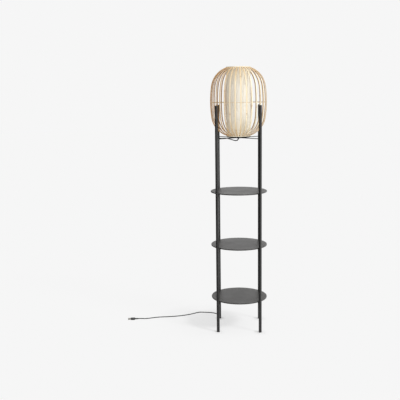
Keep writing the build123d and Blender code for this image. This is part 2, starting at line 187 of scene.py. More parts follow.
def maths(tree, operation, *values, clamp=False):
    node = addNode(tree, "ShaderNodeMath", {"operation": operation, "use_clamp": clamp},
                   dict(enumerate(values)))
    return node.outputs[0]


def plusShare(tree, base, value, share, clamp=False):
    # base plus the share of value
    return maths(tree, "MULTIPLY_ADD", value, share, base, clamp=clamp)


def blendColours(tree, factor, first, second):
    node = addNode(tree, "ShaderNodeMix", {"data_type": "RGBA"},
                   {0: factor, 6: first, 7: second})
    return node.outputs[2]


def spread(tree, value, low, high, newLow=0.0, newHigh=1.0):
    # low to high becomes newLow to newHigh, and stops there
    node = addNode(tree, "ShaderNodeMapRange", {"clamp": True}, {
        "Value": value, "From Min": low, "From Max": high,
        "To Min": newLow, "To Max": newHigh})
    return node.outputs["Result"]


def noise(tree, place, scale, detail, roughness=0.5):
    node = addNode(tree, "ShaderNodeTexNoise", None, {
        "Vector": place, "Scale": scale, "Detail": detail, "Roughness": roughness})
    return node.outputs["Fac"]


def stretch(tree, place, scale):
    node = addNode(tree, "ShaderNodeMapping", None, {"Vector": place, "Scale": scale})
    return node.outputs["Vector"]


def split(tree, vector):
    return addNode(tree, "ShaderNodeSeparateXYZ", None, {0: vector}).outputs


def readAttribute(tree, name, output):
    return addNode(tree, "ShaderNodeAttribute", {"attribute_name": name}).outputs[output]


def objectPlace(tree):
    return addNode(tree, "ShaderNodeTexCoord").outputs["Object"]


def newGroup(name, inputs, outputs):
    tree = bpy.data.node_groups.new(name, "ShaderNodeTree")
    for label, kind, value in inputs:
        socket = tree.interface.new_socket(label, in_out="INPUT", socket_type=kind)
        socket.default_value = value
    for label, kind in outputs:
        tree.interface.new_socket(label, in_out="OUTPUT", socket_type=kind)
    return tree, tree.nodes.new("NodeGroupInput").outputs, tree.nodes.new("NodeGroupOutput")


def putOut(tree, out, values):
    for label, value in values.items():
        tree.links.new(value, out.inputs[label])


def useGroup(tree, group, inputs):
    return addNode(tree, "ShaderNodeGroup", {"node_tree": group}, inputs).outputs


print("node groups")

# a noise is its scale, detail and roughness, and a range is where a mask starts and is full
powder = {
    "peel": (2.0, 0.45),               # the scale of the orange peel comes from the finish
    "grain": (2400.0, 1.0, 0.5), "grainShare": 0.25,
    "fleck": (1500.0, 0.0), "fleckRange": (0.70, 0.78),
    "rub": (9.0, 4.0, 0.6), "rubRange": (0.36, 0.66),
}


def makePowderCoat(settings):
    # orange-peel skin, tiny flecks and broad patches where hands have polished it
    tree, given, out = newGroup("powder coat", [
        ("Place", vectorKind, (0, 0, 0)), ("Peel size", floatKind, 420.0)], [
        ("Height", floatKind), ("Fleck", floatKind), ("Rub", floatKind)])
    place = given["Place"]
    peel = noise(tree, place, given["Peel size"], *settings["peel"])
    grain = noise(tree, place, *settings["grain"])
    putOut(tree, out, {
        "Height": plusShare(tree, peel, grain, settings["grainShare"]),
        "Fleck": spread(tree, noise(tree, place, *settings["fleck"]), *settings["fleckRange"]),
        "Rub": spread(tree, noise(tree, place, *settings["rub"]), *settings["rubRange"])})
    return tree


moulding = {
    "smoothness": 0.6,
    "ripple": (600.0, 2.0), "rippleShare": 0.5,
    "cloud": (45.0, 3.0), "cloudRange": (0.3, 0.7),
}


def makeMouldedSkin(settings):
    # fine spark-eroded grain of moulded plastic with faint flow clouds
    tree, given, out = newGroup("moulded skin", [
        ("Place", vectorKind, (0, 0, 0)), ("Grain size", floatKind, 1800.0)], [
        ("Height", floatKind), ("Cloud", floatKind)])
    place = given["Place"]
    cells = addNode(tree, "ShaderNodeTexVoronoi", {"feature": "SMOOTH_F1"}, {
        "Vector": place, "Scale": given["Grain size"], "Smoothness": settings["smoothness"]})
    ripple = noise(tree, place, *settings["ripple"])
    putOut(tree, out, {
        "Height": plusShare(tree, cells.outputs["Distance"], ripple, settings["rippleShare"]),
        "Cloud": spread(tree, noise(tree, place, *settings["cloud"]), *settings["cloudRange"])})
    return tree


turning = {
    "ringStretch": (120, 120, 5200), "ring": (1.0, 2.0),
    "tarnish": (160.0, 4.0, 0.6), "tarnishRange": (0.35, 0.7),
}


def makeTurnedMarks(settings):
    # level tool marks round the upright axis and soft tarnish
    tree, given, out = newGroup("turned marks", [
        ("Place", vectorKind, (0, 0, 0))], [("Height", floatKind), ("Tarnish", floatKind)])
    rings = noise(tree, stretch(tree, given["Place"], settings["ringStretch"]),
                  *settings["ring"])
    tarnish = noise(tree, given["Place"], *settings["tarnish"])
    putOut(tree, out, {
        "Height": rings, "Tarnish": spread(tree, tarnish, *settings["tarnishRange"])})
    return tree


settling = {
    "upwardRange": (0.55, 0.98),       # of the upright part of the normal
    "patch": (14.0, 5.0, 0.65), "patchRange": (0.3, 0.75), "patchShare": 0.5,
    "speck": (900.0, 1.0), "speckRange": (0.52, 0.72), "speckShare": 0.5,
}


def makeSettledDust(settings):
    # dust mask: upward faces, broken up by two noises
    tree, given, out = newGroup("settled dust", [
        ("Place", vectorKind, (0, 0, 0)), ("Amount", floatKind, 0.2)], [
        ("Mask", floatKind)])
    normal = addNode(tree, "ShaderNodeNewGeometry").outputs["Normal"]
    upward = spread(tree, split(tree, normal)["Z"], *settings["upwardRange"])
    patches = spread(tree, noise(tree, given["Place"], *settings["patch"]),
                     *settings["patchRange"])
    specks = spread(tree, noise(tree, given["Place"], *settings["speck"]),
                    *settings["speckRange"])
    broken = plusShare(tree, maths(tree, "MULTIPLY", patches, settings["patchShare"]), specks,
                       settings["speckShare"])
    mask = maths(tree, "MULTIPLY", maths(tree, "MULTIPLY", broken, upward), given["Amount"])
    putOut(tree, out, {"Mask": mask})
    return tree


cane = {
    # stretches run across, along and from strip to strip
    "fibreStretch": (2600, 22, 17.3), "fibre": (1.0, 3.0, 0.6), "fibreRange": (0.3, 0.7),
    "poreStretch": (7000, 60, 5.1), "pore": (1.0, 1.0), "poreRange": (0.60, 0.74),
    "driftStretch": (90, 7, 3.7), "drift": (1.0, 2.0), "driftRange": (0.45, 0.75, 0.0, 0.35),
    "familyStretch": (0, 0, 0.41), "family": (1.0, 0.0),
    "familyTan": (0.3, 0.7, -0.1, 0.35),
    # of the tan and dark shares, the third tan share and the fourth dark share are painted shade
    # towards the lantern's shaded side
    "stripTan": 0.5, "fibreTan": (-0.15, 0.25), "sideShadeTan": 0.8,
    "jointReach": (0.0012, 0.0032), "collarReach": (0.002, 0.014),
    "endReach": (0.22, 0.48),          # from the middle, as a share of the strip's length
    "jointDark": 0.6, "collarDark": 0.22, "poreDark": 0.12, "sideShadeDark": 0.26, "endDark": 0.15,
    "rough": (0.36, 0.52), "insideRough": 0.2,
    "jointHeight": 1.6, "fibreHeight": 0.8, "poreHeight": -0.5,
}


def jointRings(tree, given, along, shift, settings):
    # the joints stand a step apart, shifted on each strip, and a ring is full at the joint
    # and gone at the end of its reach
    step = given["Joint step"]
    turn = maths(tree, "FRACT", maths(
        tree, "DIVIDE", maths(tree, "MULTIPLY_ADD", shift, step, along), step))
    away = maths(tree, "MULTIPLY", maths(
        tree, "ABSOLUTE", maths(tree, "SUBTRACT", turn, 0.5)), step)
    return [spread(tree, away, *settings[reach], 1.0, 0.0)
            for reach in ("jointReach", "collarReach")]


def makeBambooFibre(settings):
    # Place is (across, along, strip number): fibres run along, each strip has its own tone,
    # strips towards the lantern's shaded side are browner as painted shade, the inner face and
    # cut edges are darker as painted shade, and a darker ring comes round at every joint of the
    # cane
    tree, given, out = newGroup("bamboo fibre", [
        ("Place", vectorKind, (0, 0, 0)), ("Skin", floatKind, 1.0), ("Painted side shade", floatKind, 0.0),
        ("Pale", colourKind, (0.8, 0.7, 0.5, 1)), ("Tan", colourKind, (0.6, 0.45, 0.25, 1)),
        ("Brown", colourKind, (0.3, 0.2, 0.1, 1)), ("Joint step", floatKind, 0.31),
        ("Joint depth", floatKind, 1.0), ("Painted inner shade", floatKind, 0.4),
        ("Strip length", floatKind, 0.5), ("End shade", floatKind, 0.0)], [
        ("Colour", colourKind), ("Roughness", floatKind), ("Height", floatKind)])
    place, sideShadeDepth = given["Place"], given["Painted side shade"]
    parts = split(tree, place)
    chance = addNode(tree, "ShaderNodeTexWhiteNoise", {"noise_dimensions": "1D"},
                     {"W": parts["Z"]})
    tones = split(tree, chance.outputs["Color"])
    fibres, pores, drift, family = [
        noise(tree, stretch(tree, place, settings[kind + "Stretch"]), *settings[kind])
        for kind in ("fibre", "pore", "drift", "family")]
    pores = spread(tree, pores, *settings["poreRange"])
    joint, collar = jointRings(tree, given, parts["Y"], tones["Y"], settings)
    offMiddle = maths(tree, "ABSOLUTE", maths(tree, "SUBTRACT", maths(
        tree, "DIVIDE", parts["Y"], given["Strip length"]), 0.5))
    ends = maths(tree, "MULTIPLY", spread(tree, offMiddle, *settings["endReach"]),
                 given["End shade"])
    inside = maths(tree, "SUBTRACT", 1.0, given["Skin"])

    tan = spread(tree, fibres, *settings["fibreRange"], *settings["fibreTan"])
    tan = plusShare(tree, tan, tones["X"], settings["stripTan"])
    tan = maths(tree, "ADD", spread(tree, family, *settings["familyTan"]), tan)
    # painted shade: strips towards the lantern's shaded side turn tanner
    tan = plusShare(tree, tan, sideShadeDepth, settings["sideShadeTan"])
    tan = maths(tree, "ADD", tan, ends, clamp=True)

    dark = maths(tree, "MULTIPLY", collar, settings["collarDark"])
    dark = plusShare(tree, dark, joint, settings["jointDark"])
    dark = maths(tree, "MULTIPLY", dark, given["Joint depth"])
    dark = plusShare(tree, dark, pores, settings["poreDark"])
    # painted shade: strips towards the lantern's shaded side turn browner
    dark = plusShare(tree, dark, sideShadeDepth, settings["sideShadeDark"])
    # painted shade: the inner face and the cut edges turn browner
    dark = plusShare(tree, dark, inside, given["Painted inner shade"])
    dark = plusShare(tree, dark, ends, settings["endDark"], clamp=True)

    colour = blendColours(tree, tan, given["Pale"], given["Tan"])
    colour = blendColours(tree, spread(tree, drift, *settings["driftRange"]), colour,
                          given["Tan"])
    rough = spread(tree, fibres, *settings["fibreRange"], *settings["rough"])
    height = maths(tree, "MULTIPLY", pores, settings["poreHeight"])
    height = plusShare(tree, height, fibres, settings["fibreHeight"])
    putOut(tree, out, {
        "Colour": blendColours(tree, dark, colour, given["Brown"]),
        "Roughness": plusShare(tree, rough, inside, settings["insideRough"]),
        "Height": plusShare(tree, height, joint, settings["jointHeight"])})
    return tree


powderCoat = makePowderCoat(powder)
mouldedSkin = makeMouldedSkin(moulding)
turnedMarks = makeTurnedMarks(turning)
settledDust = makeSettledDust(settling)
bambooFibre = makeBambooFibre(cane)


print("finishes")

dust = {"colour": (0.42, 0.40, 0.37, 1), "roughShare": 0.5}


def newFinish(name, constants):
    # a material with its shader; constants go on the shader's own sockets
    finish = bpy.data.materials.new(name)
    finish.use_nodes = True
    tree = finish.node_tree
    shader = tree.nodes["Principled BSDF"]
    for key, value in constants.items():
        shader.inputs[key].default_value = value
    return finish, tree, shader


def dress(tree, shader, colour, rough, height, strength, depth):
    # colour, roughness and a bump of the given strength and depth, into the shader
    tree.links.new(colour, shader.inputs["Base Color"])
    if rough is not None:
        tree.links.new(rough, shader.inputs["Roughness"])
    bump = addNode(tree, "ShaderNodeBump", None, {
        "Strength": strength, "Distance": depth, "Height": height})
    tree.links.new(bump.outputs["Normal"], shader.inputs["Normal"])


coatedLook = {"roughSwing": 0.03, "depth": 0.0002}


def coatedSteel(name, look):
    finish, tree, shader = newFinish(name, {"Specular IOR Level": look["gloss"]})
    place = objectPlace(tree)
    coat = useGroup(tree, powderCoat, {"Place": place, "Peel size": look["peel"]})
    settled = useGroup(tree, settledDust, {"Place": place, "Amount": look["dust"]})
    colour = blendColours(tree, coat["Fleck"], look["colour"], look["fleck"])
    colour = blendColours(tree, coat["Rub"], colour, look["rubbed"])
    colour = blendColours(tree, settled["Mask"], colour, dust["colour"])
    swing = coatedLook["roughSwing"]
    rough = spread(tree, coat["Rub"], 0.0, 1.0, look["rough"] + swing, look["rough"] - swing)
    rough = plusShare(tree, rough, settled["Mask"], dust["roughShare"])
    dress(tree, shader, colour, rough, coat["Height"], look["bump"], coatedLook["depth"])
    return finish


mouldedLook = {"roughSwing": (-0.04, 0.06), "depth": 0.0001}


def mouldedPlastic(name, look):
    finish, tree, shader = newFinish(name, {"Specular IOR Level": look["gloss"]})
    place = objectPlace(tree)
    skin = useGroup(tree, mouldedSkin, {"Place": place, "Grain size": look["grain"]})
    settled = useGroup(tree, settledDust, {"Place": place, "Amount": look["dust"]})
    colour = blendColours(tree, skin["Cloud"], look["colour"], look["cloud"])
    colour = blendColours(tree, settled["Mask"], colour, dust["colour"])
    rough = spread(tree, skin["Cloud"], 0, 1,
                   *[look["rough"] + swing for swing in mouldedLook["roughSwing"]])
    dress(tree, shader, colour, rough, skin["Height"], look["bump"], mouldedLook["depth"])
    return finish


metalLook = {"roughSwing": (-0.06, 0.1), "depth": 0.00006}


def bareMetal(name, look):
    finish, tree, shader = newFinish(name, {"Metallic": 1.0})
    marks = useGroup(tree, turnedMarks, {"Place": objectPlace(tree)})
    colour = blendColours(tree, marks["Tarnish"], look["colour"], look["tarnish"])
    rough = spread(tree, marks["Tarnish"], 0, 1,
                   *[look["rough"] + swing for swing in metalLook["roughSwing"]])
    dress(tree, shader, colour, rough, marks["Height"], look["bump"], metalLook["depth"])
    return finish


bambooLook = {"depth": 0.0003}


def bambooFinish(name, look):
    # the grain attribute holds (across, along, strip number), skin is 1 on the outer face, and a
    # third attribute holds painted shade, how much browner a strip is drawn on the lantern's
    # shaded side; the inner face and cut edges are darkened with painted shade too
    finish, tree, shader = newFinish(name, {"Specular IOR Level": look["gloss"]})
    fibre = useGroup(tree, bambooFibre, {
        "Place": readAttribute(tree, "grain", "Vector"),
        "Skin": readAttribute(tree, "skin", "Fac"),
        "Painted side shade": readAttribute(tree, "paintedSideShade", "Fac"),
        "Pale": look["pale"], "Tan": look["tan"], "Brown": look["brown"],
        "Joint step": look["jointStep"], "Joint depth": look["jointDepth"],
        "Painted inner shade": look["paintedInnerShade"], "Strip length": look["length"],
        "End shade": look["endShade"]})
    dress(tree, shader, fibre["Colour"], fibre["Roughness"], fibre["Height"], look["bump"],
          bambooLook["depth"])
    return finish


cordLook = {
    "scuffNoise": (70.0, 5.0, 0.7), "scuffRange": (0.52, 0.72), "roughSwing": 0.15,
    "depth": 0.0001,
}


def cordSheath(name, look):
    finish, tree, shader = newFinish(name, {"Specular IOR Level": look["gloss"]})
    place = objectPlace(tree)
    skin = useGroup(tree, mouldedSkin, {"Place": place, "Grain size": look["grain"]})
    worn = noise(tree, place, *cordLook["scuffNoise"])
    scuff = spread(tree, worn, *cordLook["scuffRange"])
    colour = blendColours(tree, skin["Cloud"], look["colour"], look["cloud"])
    colour = blendColours(tree, scuff, colour, look["scuff"])
    rough = spread(tree, scuff, 0, 1, look["rough"], look["rough"] + cordLook["roughSwing"])
    dress(tree, shader, colour, rough, skin["Height"], look["bump"], cordLook["depth"])
    return finish


def linerPaper(name, look):
    # pale paper: crossing fibres and small cloudy patches
    finish, tree, shader = newFinish(name, {
        "Roughness": look["rough"], "Specular IOR Level": look["gloss"]})
    place = objectPlace(tree)
    threads = noise(tree, stretch(tree, place, look["threadStretch"]), *look["thread"])
    crossing = noise(tree, stretch(tree, place, look["crossingStretch"]), *look["crossing"])
    share = look["crossingShare"]
    fibres = plusShare(tree, maths(tree, "MULTIPLY", crossing, share), threads, 1 - share)
    colour = blendColours(tree, spread(tree, fibres, *look["fibreRange"]), look["colour"],
                          look["fibre"])
    dress(tree, shader, colour, None, fibres, look["bump"], look["depth"])
    return finish


def opalGlass(name, look):
    # milky glass with a faint powdery lining
    finish, tree, shader = newFinish(name, {
        "Transmission Weight": look["clear"], "IOR": look["bending"],
        "Coat Weight": look["coat"], "Coat Roughness": look["coatRough"]})
    lining = noise(tree, objectPlace(tree), *look["lining"])
    colour = blendColours(tree, spread(tree, lining, *look["liningRange"]), look["colour"],
                          look["cloud"])
    rough = spread(tree, lining, *look["liningRange"], *look["rough"])
    dress(tree, shader, colour, rough, lining, look["bump"], look["depth"])
    return finish


postSteel = coatedSteel("satin black post", {
    "colour": (0.007, 0.0065, 0.006, 1), "fleck": (0.03, 0.029, 0.028, 1),
    "rubbed": (0.010, 0.0095, 0.009, 1), "gloss": 0.42, "rough": 0.34, "peel": 520.0,
    "bump": 0.12, "dust": 0.0})
shelfSteel = coatedSteel("satin black shelf", {
    "colour": (0.0130, 0.0116, 0.0105, 1), "fleck": (0.036, 0.034, 0.032, 1),
    "rubbed": (0.0192, 0.0176, 0.0162, 1), "gloss": 0.53, "rough": 0.42, "peel": 380.0,
    "bump": 0.12, "dust": 0.10})
supportSteel = coatedSteel("black lantern support", {
    "colour": (0.010, 0.0095, 0.009, 1), "fleck": (0.03, 0.029, 0.028, 1),
    "rubbed": (0.014, 0.0135, 0.013, 1), "gloss": 0.35, "rough": 0.4, "peel": 600.0,
    "bump": 0.1, "dust": 0.04})
# painted shade: the plate is a darker copy of the black coat, standing for the shade under the
# lantern; it is also less glossy
plateSteelPaintedShade = coatedSteel("black lantern plate with painted shade", {
    "colour": (0.006, 0.0057, 0.0054, 1), "fleck": (0.02, 0.019, 0.018, 1),
    "rubbed": (0.009, 0.0087, 0.0084, 1), "gloss": 0.12, "rough": 0.5, "peel": 600.0,
    "bump": 0.1, "dust": 0.02})
capPlastic = mouldedPlastic("black end plug", {
    "colour": (0.012, 0.012, 0.012, 1), "cloud": (0.018, 0.018, 0.018, 1),
    "gloss": 0.35, "rough": 0.5, "grain": 2200.0, "bump": 0.1, "dust": 0.06})
bushPlastic = mouldedPlastic("black bush", {
    "colour": (0.014, 0.014, 0.014, 1), "cloud": (0.022, 0.022, 0.021, 1),
    "gloss": 0.4, "rough": 0.45, "grain": 2600.0, "bump": 0.08, "dust": 0.0})
holderPlastic = mouldedPlastic("black lamp holder", {
    "colour": (0.016, 0.016, 0.016, 1), "cloud": (0.024, 0.024, 0.023, 1),
    "gloss": 0.45, "rough": 0.35, "grain": 1600.0, "bump": 0.08, "dust": 0.03})
carrierCeramic = mouldedPlastic("white contact carrier", {
    "colour": (0.72, 0.70, 0.66, 1), "cloud": (0.66, 0.64, 0.59, 1),
    "gloss": 0.5, "rough": 0.3, "grain": 900.0, "bump": 0.06, "dust": 0.0})
plugPlastic = mouldedPlastic("black plug", {
    "colour": (0.014, 0.014, 0.014, 1), "cloud": (0.022, 0.022, 0.022, 1),
    "gloss": 0.45, "rough": 0.4, "grain": 1700.0, "bump": 0.1, "dust": 0.05})
collarPlastic = mouldedPlastic("white bulb collar", {
    "colour": (0.80, 0.79, 0.76, 1), "cloud": (0.74, 0.73, 0.69, 1),
    "gloss": 0.5, "rough": 0.35, "grain": 1500.0, "bump": 0.05, "dust": 0.0})
screwSteel = bareMetal("zinc plated screws", {
    "colour": (0.58, 0.58, 0.60, 1), "tarnish": (0.42, 0.42, 0.43, 1), "rough": 0.34,
    "bump": 0.2})
contactBrass = bareMetal("brass contacts", {
    "colour": (0.80, 0.60, 0.30, 1), "tarnish": (0.52, 0.38, 0.18, 1), "rough": 0.3,
    "bump": 0.2})
bulbMetal = bareMetal("nickel plating", {
    "colour": (0.72, 0.70, 0.66, 1), "tarnish": (0.52, 0.50, 0.46, 1), "rough": 0.28,
    "bump": 0.2})
bulbOpal = opalGlass("opal bulb glass", {
    "colour": (0.88, 0.88, 0.86, 1), "cloud": (0.80, 0.80, 0.77, 1), "clear": 0.25,
    "bending": 1.5, "coat": 0.6, "coatRough": 0.05, "lining": (300.0, 4.0, 0.6),
    "liningRange": (0.3, 0.7), "rough": (0.30, 0.42), "bump": 0.05, "depth": 0.0001})
liner = linerPaper("liner paper", {
    "colour": (0.84, 0.80, 0.69, 1), "fibre": (0.72, 0.66, 0.52, 1), "rough": 0.85,
    "gloss": 0.2, "threadStretch": (500, 500, 90), "thread": (1.0, 5.0, 0.7),
    "crossingStretch": (120, 120, 900), "crossing": (1.0, 4.0, 0.7), "crossingShare": 0.5,
    "fibreRange": (0.35, 0.65), "bump": 0.3, "depth": 0.0002})
sheath = cordSheath("black cord", {
    "colour": (0.011, 0.011, 0.011, 1), "cloud": (0.017, 0.017, 0.017, 1),
    "scuff": (0.03, 0.029, 0.028, 1), "gloss": 0.15, "rough": 0.6, "grain": 2400.0,
    "bump": 0.06})
splintBamboo = bambooFinish("bamboo splint", {
    "pale": (0.92, 0.90, 0.73, 1), "tan": (0.76, 0.56, 0.29, 1),
    "brown": (0.34, 0.15, 0.04, 1), "jointStep": 0.33, "jointDepth": 0.7,
    "paintedInnerShade": 0.65, "length": 0.43, "endShade": 0.45, "gloss": 0.45, "bump": 0.35})
drumBamboo = bambooFinish("pale drum strip", {
    "pale": (0.945, 0.94, 0.885, 1), "tan": (0.87, 0.81, 0.65, 1),
    "brown": (0.40, 0.28, 0.16, 1), "jointStep": 0.29, "jointDepth": 0.2,
    "paintedInnerShade": 0.3, "length": 0.36, "endShade": 0.7, "gloss": 0.35, "bump": 0.3})
hoopBamboo = bambooFinish("bamboo hoop", {
    "pale": (0.66, 0.53, 0.34, 1), "tan": (0.46, 0.33, 0.18, 1),
    "brown": (0.18, 0.10, 0.045, 1), "jointStep": 0.33, "jointDepth": 0.6,
    "paintedInnerShade": 0.3, "length": 1.0, "endShade": 0.0, "gloss": 0.4, "bump": 0.3})

posts = ["post_front_left", "post_front_right", "post_back_left", "post_back_right"]
nodeFinishes = {
    postSteel: posts,
    shelfSteel: ["shelf_lower", "shelf_middle", "shelf_upper"],
    supportSteel: ["lantern_spider"],
    plateSteelPaintedShade: ["lantern_plate"],
    capPlastic: ["post_caps", "foot_glides"],
    bushPlastic: ["cord_entry_grommet", "cord_exit_grommet", "strain_relief"],
    screwSteel: ["shelf_screws", "shelf_inserts", "threaded_nipple", "nipple_nut"],
    holderPlastic: ["holder_base", "holder_body", "bulb_insulator"],
    carrierCeramic: ["contact_carrier"],
    contactBrass: ["contact_tongue", "screw_shell", "bulb_contact"],
    bulbMetal: ["bulb_cap", "plug_blades"],
    collarPlastic: ["bulb_collar"],
    bulbOpal: ["bulb_glass"],
    sheath: ["cord_in_nipple", "cord_in_post"],
    plugPlastic: ["plug_body"],
    liner: ["drum_liner"],
}
for finish, names in nodeFinishes.items():
    for name in names:
        for slot in nodes[name].material_slots:
            slot.material = finish
for cord in (topCord, floorCord):
    cord.data.materials.append(sheath)


print("lantern")

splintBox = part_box("lantern_splints")
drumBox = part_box("drum_strips")
lanternRadius = (splintBox[1][0] - splintBox[0][0]) / 2
drumRadius = (drumBox[1][0] - drumBox[0][0]) / 2
drumBottom, drumTop = drumBox[0][2], drumBox[1][2]
lanternMiddle = (drumBottom + drumTop) / 2
upright = np.array([0.0, 0.0, 1.0])
sharpAngle = math.radians(40)      # an edge that turns by more stays crisp


def stripFaces(count, steps, ring, closed):
    # quads between each ring of section points and the next, and end faces on open strips
    def index(strip, step, side):
        return (strip * steps + step % steps) * ring + side % ring

    strip, step, side = np.meshgrid(
        np.arange(count), np.arange(steps if closed else steps - 1), np.arange(ring),
        indexing="ij")
    quads = np.stack([index(strip, step, side), index(strip, step, side + 1),
                      index(strip, step + 1, side + 1), index(strip, step + 1, side)], -1)
    faces = quads.reshape(-1, 4).tolist()
    if not closed:
        for row, order in ((0, np.arange(ring)[::-1]), (steps - 1, np.arange(ring))):
            faces += index(np.arange(count)[:, None], row, order[None]).tolist()
    return faces


def sweptStrips(name, centres, across, outward, section, skin, finish, paintedSideShade=0.0,
                closed=False):
    # each point is a point of its strip's middle line, plus the section's width part along
    # the sideways direction there, plus its depth part along the outward direction
    count, steps, ring = centres.shape[0], centres.shape[1], len(section)
    points = (centres[:, :, None] + section[None, None, :, :1] * across[:, :, None]
              + section[None, None, :, 1:] * outward[:, :, None])
    mesh = bpy.data.meshes.new(name)
    mesh.from_pydata(points.reshape(-1, 3).tolist(), [], stripFaces(count, steps, ring, closed))
    gaps = np.linalg.norm(np.diff(centres, axis=1), axis=2)
    along = np.concatenate([np.zeros((count, 1)), np.cumsum(gaps, axis=1)], axis=1)
    grain = np.empty((count, steps, ring, 3))
    grain[..., 0] = section[:, 0]
    grain[..., 1] = along[..., None]
    grain[..., 2] = np.arange(count)[:, None, None] + 1
    mesh.attributes.new("grain", "FLOAT_VECTOR", "POINT").data.foreach_set(
        "vector", grain.ravel())
    # the second attribute is painted shade for each strip, browner towards the lantern's shaded
    # side
    for label, value in (("skin", skin), ("paintedSideShade", np.reshape(paintedSideShade, (-1, 1, 1)))):
        mesh.attributes.new(label, "FLOAT", "POINT").data.foreach_set(
            "value", np.broadcast_to(value, (count, steps, ring)).ravel())
    work = bmesh.new()
    work.from_mesh(mesh)
    bmesh.ops.recalc_face_normals(work, faces=work.faces)
    work.to_mesh(mesh)
    work.free()
    mesh.polygons.foreach_set("use_smooth", np.ones(len(mesh.polygons), bool))
    mesh.set_sharp_from_angle(angle=sharpAngle)
    mesh.materials.append(finish)
    piece = bpy.data.objects.new(name, mesh)
    sceneObjects.link(piece)
    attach(piece, "lantern")
    return piece


def stripSection(width, thickness, crown, edgeRound):
    # the outer face falls from its middle by the crown times the square of the share of the
    # half width, between cut edges, and the inner face is flat; skin is 1 where the cane's
    # own skin is left and 0 inside
    half, r = width / 2, edgeRound
    a = np.array([-half + r, -half / 2, 0, half / 2, half - r, half, half, half - r,
                  0, -half + r, -half, -half])
    low = np.array([0, 0, 0, 0, 0, -r, -thickness + r, -thickness,
                    -thickness, -thickness, -thickness + r, -r])
    b = low - np.where(low > -thickness + r, crown * (a / half) ** 2, 0)
    # the cut edges lie between the outer face and the inside, so they take part of the painted
    # shade on the inner face
    skin = np.array([0.55, 1, 1, 1, 0.55, 0.25, 0, 0, 0, 0, 0, 0.25])
    return np.stack([a, b], -1), skin


def fanOut(angles):
    # the outward and the sideways direction at each angle from +x
    radial = np.stack([np.cos(angles), np.sin(angles), 0 * angles], -1)
    across = np.stack([-np.sin(angles), np.cos(angles), 0 * angles], -1)
    return radial, across


def shadeTowardsSide(angles, settings):
    # painted shade, browner strips towards the lantern's shaded side: the depth of the shade
    # times the fourth power of the half of one plus the cosine of the angle from that side
    side = math.radians(settings["sideShadeAngle"])
    return settings["sideShadeDepth"] * ((1 + np.cos(angles - side)) / 2) ** 4


splint = {
    "count": 32, "width": 0.0070, "thickness": 0.0020, "crown": 0.00035, "edge": 0.0005,
    "bellyRadius": 0.600,
    "bellyHalf": 0.080,        # half the height of the shallow arc
    "endInset": 0.003,
    "bellySteps": 13, "shoulderSteps": 40,
    "sway": 0.0008,
    # painted shade: the splints are drawn browner towards this side, the side away from the key
    # lamp
    "sideShadeAngle": 190.0,         # degrees from +x, where the browner splints stand
    "sideShadeDepth": 1.0,
}


def bowedLine(settings):
    # an arc of the belly radius round the lantern's middle, then a tighter arc that starts
    # along it and ends on the drum, and the same downwards; the third row is the lean
    reach, radius, half = lanternRadius, settings["bellyRadius"], settings["bellyHalf"]
    lean = math.asin(half / radius)
    start = np.array([reach - radius + radius * math.cos(lean), half])
    end = np.array([drumRadius, drumTop - lanternMiddle - settings["endInset"]])
    inward = -np.array([math.cos(lean), math.sin(lean)])
    bow = ((end - start) @ (end - start)) / (2 * (end - start) @ inward)
    centre = start + bow * inward
    finalLean = math.atan2(*(end - centre)[::-1])
    belly = np.linspace(0, lean, settings["bellySteps"], endpoint=False)
    shoulder = np.linspace(lean, finalLean, settings["shoulderSteps"])
    r = np.r_[reach - radius + radius * np.cos(belly), centre[0] + bow * np.cos(shoulder)]
    z = np.r_[radius * np.sin(belly), centre[1] + bow * np.sin(shoulder)]
    leans = np.r_[belly, shoulder]
    mirrored = slice(None, 0, -1)
    return (np.r_[r[mirrored], r], np.r_[-z[mirrored], z], np.r_[-leans[mirrored], leans])


def makeSplints(settings):
    # the splints stand half a step off +x and share the bowed line; each sways sideways by
    # its own amount times the sine of a half turn from end to end
    r, z, lean = bowedLine(settings)
    angles = (np.arange(settings["count"]) + 0.5) * 2 * np.pi / settings["count"]
    radial, across = [way[:, None] for way in fanOut(angles)]
    centres = radial * r[None, :, None] + upright * (z + lanternMiddle)[None, :, None]
    t = np.linspace(0, 1, len(r))
    sway = (settings["sway"] * rng.uniform(-1, 1, (settings["count"], 1))
            * np.sin(np.pi * t)[None])
    centres = centres + across * sway[..., None]
    outward = radial * np.cos(lean)[None, :, None] + upright * np.sin(lean)[None, :, None]
    section, skin = stripSection(settings["width"], settings["thickness"],
                                 settings["crown"], settings["edge"])
    # the last argument is painted shade, browner towards the lantern's shaded side
    piece = sweptStrips("cage_splints", centres, np.broadcast_to(across, centres.shape),
                        np.broadcast_to(outward, centres.shape), section, skin,
                        splintBamboo, shadeTowardsSide(angles, settings))
    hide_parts("lantern_splints")


drumStrip = {
    "count": 60, "thickness": 0.0012, "gap": 0.00015, "crown": 0.00025, "edge": 0.00025,
    # painted shade: the drum strips turn tanner towards the lantern's shaded side
    "steps": 13, "sideShadeAngle": 190.0, "sideShadeDepth": 0.35,
}


def makeDrumStrips(settings):
    # upright strips side by side in a ring, with their outer faces on the drum's radius
    inner = drumRadius - settings["thickness"]
    width = 2 * inner * math.tan(math.pi / settings["count"]) - settings["gap"]
    angles = np.arange(settings["count"]) * 2 * np.pi / settings["count"]
    radial, across = [way[:, None] for way in fanOut(angles)]
    z = np.linspace(drumBottom, drumTop, settings["steps"])
    centres = radial * drumRadius + upright * z[None, :, None]
    section, skin = stripSection(width, settings["thickness"], settings["crown"],
                                 settings["edge"])
    # the last argument is painted shade, tanner towards the lantern's shaded side
    piece = sweptStrips("drum_slats", centres, np.broadcast_to(across, centres.shape),
                        np.broadcast_to(radial, centres.shape), section, skin, drumBamboo,
                        shadeTowardsSide(angles, settings))
    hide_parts("drum_strips")


